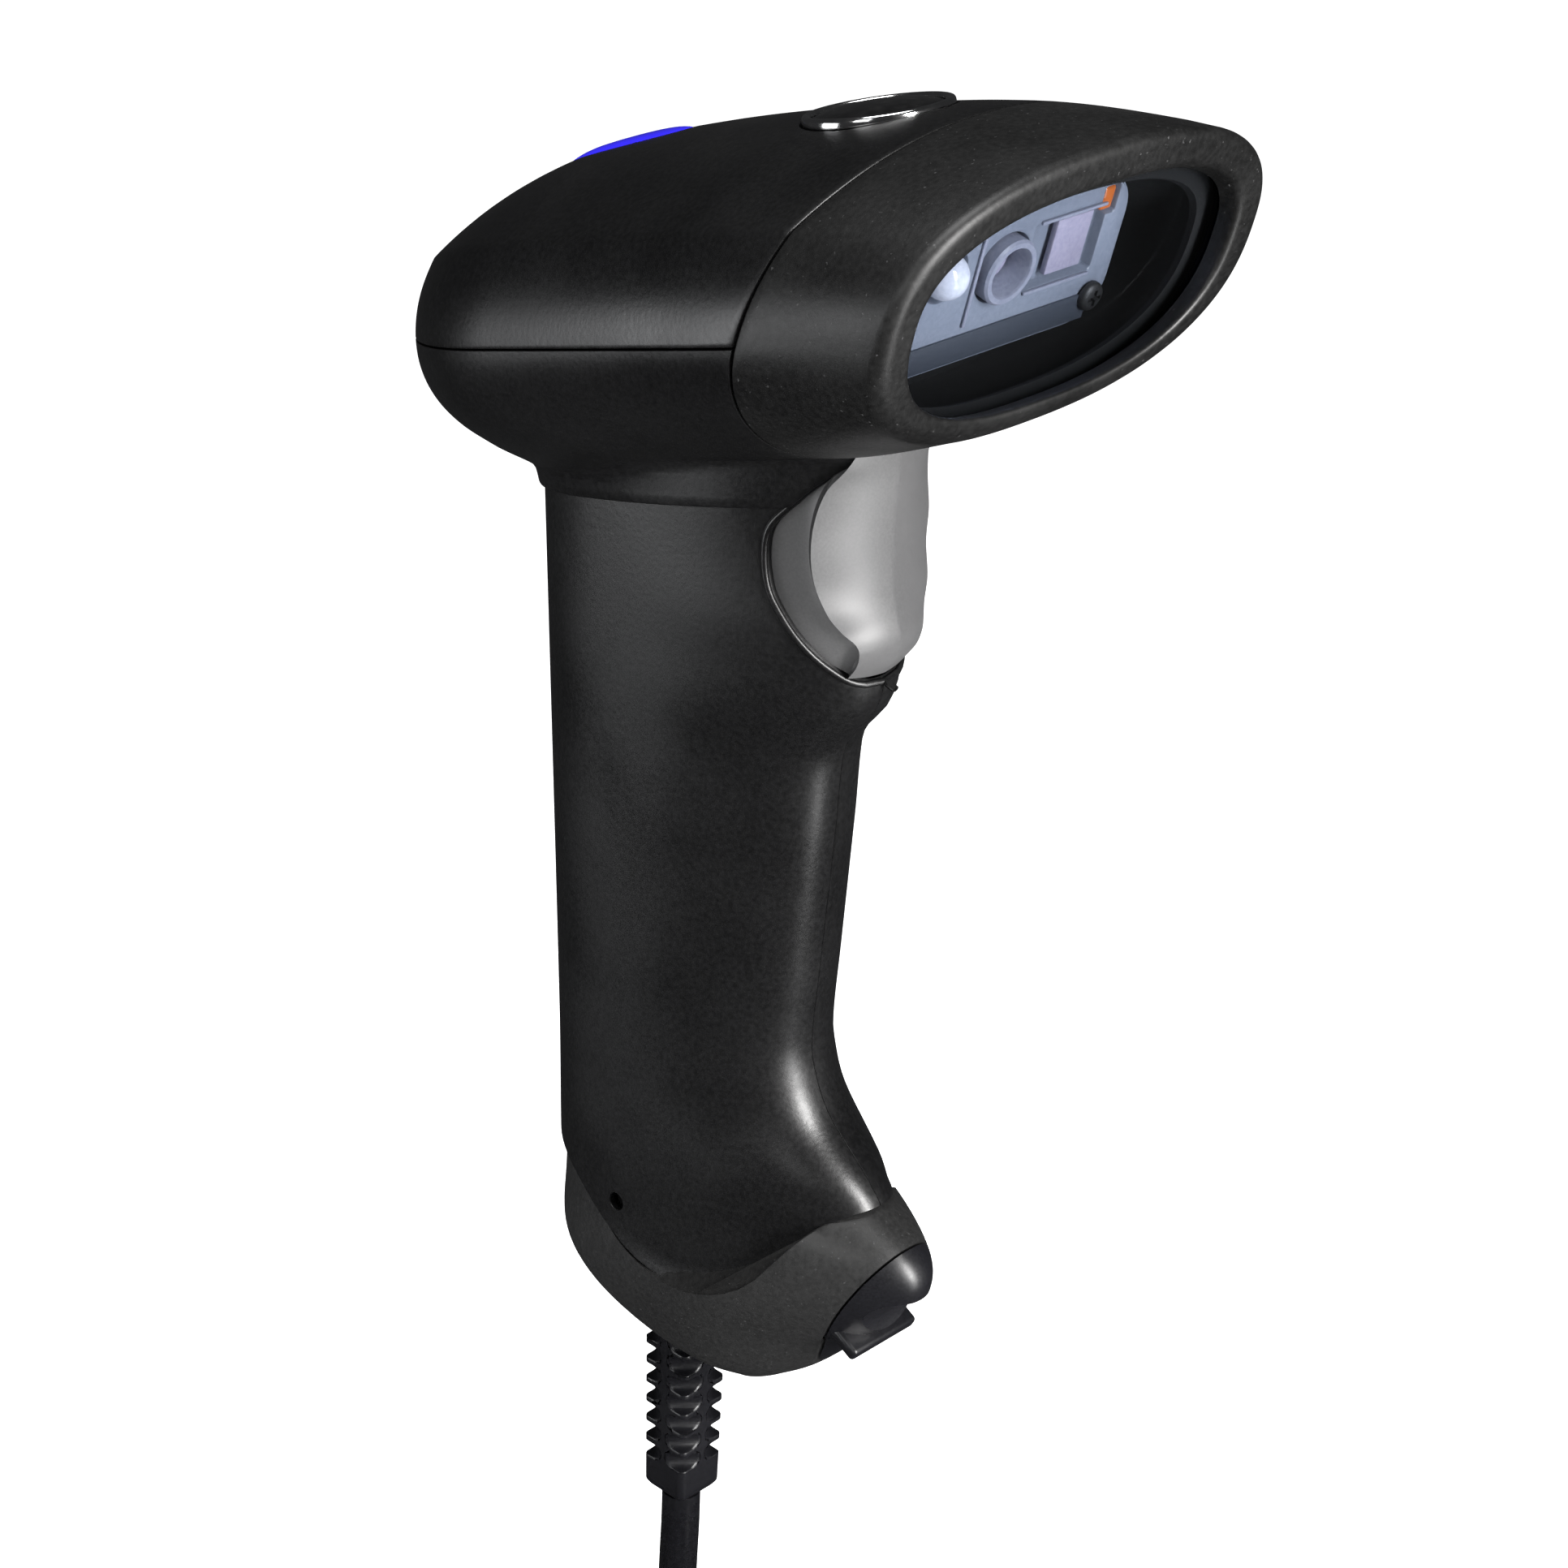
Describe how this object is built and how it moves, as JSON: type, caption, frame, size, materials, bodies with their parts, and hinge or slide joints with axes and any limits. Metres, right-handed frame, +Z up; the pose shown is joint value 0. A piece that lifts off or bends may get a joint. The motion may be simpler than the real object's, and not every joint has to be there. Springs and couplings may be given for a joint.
{
  "type": "handheld barcode scanner",
  "caption": "Pistol-grip handheld barcode scanner: oval window in a broad head, grey trigger, blue light, badge dome, end cap and USB cord.",
  "frame": {"origin": "middle of the hand grip, on the plane where the casing halves meet", "axes": "+Z up along the grip; -Y the way the scanner looks; +X to the right seen along +Y"},
  "size_m": [0.0924, 0.0937, 0.2642],
  "materials": {
    "casing": "matte",
    "nose": "matte",
    "trigger": "satin",
    "blueLens": "gloss",
    "chrome": "gloss",
    "glass": "gloss",
    "rubber": "satin",
    "board": "satin",
    "chip": "matte",
    "steel": "polished",
    "ivory": "satin",
    "engine": "satin",
    "amber": "satin"
  },
  "bodies": {
    "scanner": {"body_right": "casing", "body_left": "casing", "top_cover": "casing", "nose_bezel": "nose", "window_glass": "glass", "window_gasket": "rubber", "indicator_lens": "blueLens", "badge_ring": "chrome", "badge_plate": "chrome", "trigger_pin": "steel", "trigger_switch": "chip", "trigger_board": "board", "end_cap": "casing", "strain_relief": "rubber", "engine_frame": "engine", "lens_barrel": "engine", "front_lens": "glass", "illumination_led": "glass", "aimer_pane": "glass", "amber_marker": "amber", "engine_board": "board", "engine_screw_1": "steel", "engine_screw_2": "steel", "main_board": "board", "decoder_chip": "chip", "memory_chip": "chip", "cable_socket": "ivory", "cable_connector": "ivory", "beeper": "chip", "ribbon_cable": "ivory", "indicator_board": "board", "indicator_led": "ivory", "case_screw_1": "steel", "case_screw_2": "steel", "case_screw_3": "steel", "inner_cable": "rubber", "cord_lead": "rubber", "cord_coil": "rubber", "cord_tail": "rubber", "cord_tie": "rubber", "usb_grip": "rubber", "usb_shell": "steel", "usb_tongue": "ivory"},
    "trigger_lever": {"trigger": "trigger", "trigger_spring": "steel"},
    "plunger": {"switch_plunger": "trigger"},
    "cover_plug": {"port_plug": "rubber"}
  },
  "joints": [
    {"name": "trigger_pull", "type": "hinge", "parent": "scanner", "child": "trigger_lever", "pos_m": [0, -0.021, 0.0605], "axis": [1, 0, 0], "range_deg": [0, 4], "stiffness_Nm_per_rad": 0.1, "springref_deg": -8.59},
    {"name": "plunger_press", "type": "slide", "parent": "scanner", "child": "plunger", "axis": [0, 1, 0], "range_m": [0, 0.00125]},
    {"name": "plug_pull", "type": "slide", "parent": "scanner", "child": "cover_plug", "axis": [0, -0.8518, -0.5239], "range_m": [0, 0.012]}
  ],
  "couplings": [
    {"joint": "plunger_press", "follows": "trigger_pull", "m_per_rad": 0.0175}
  ]
}
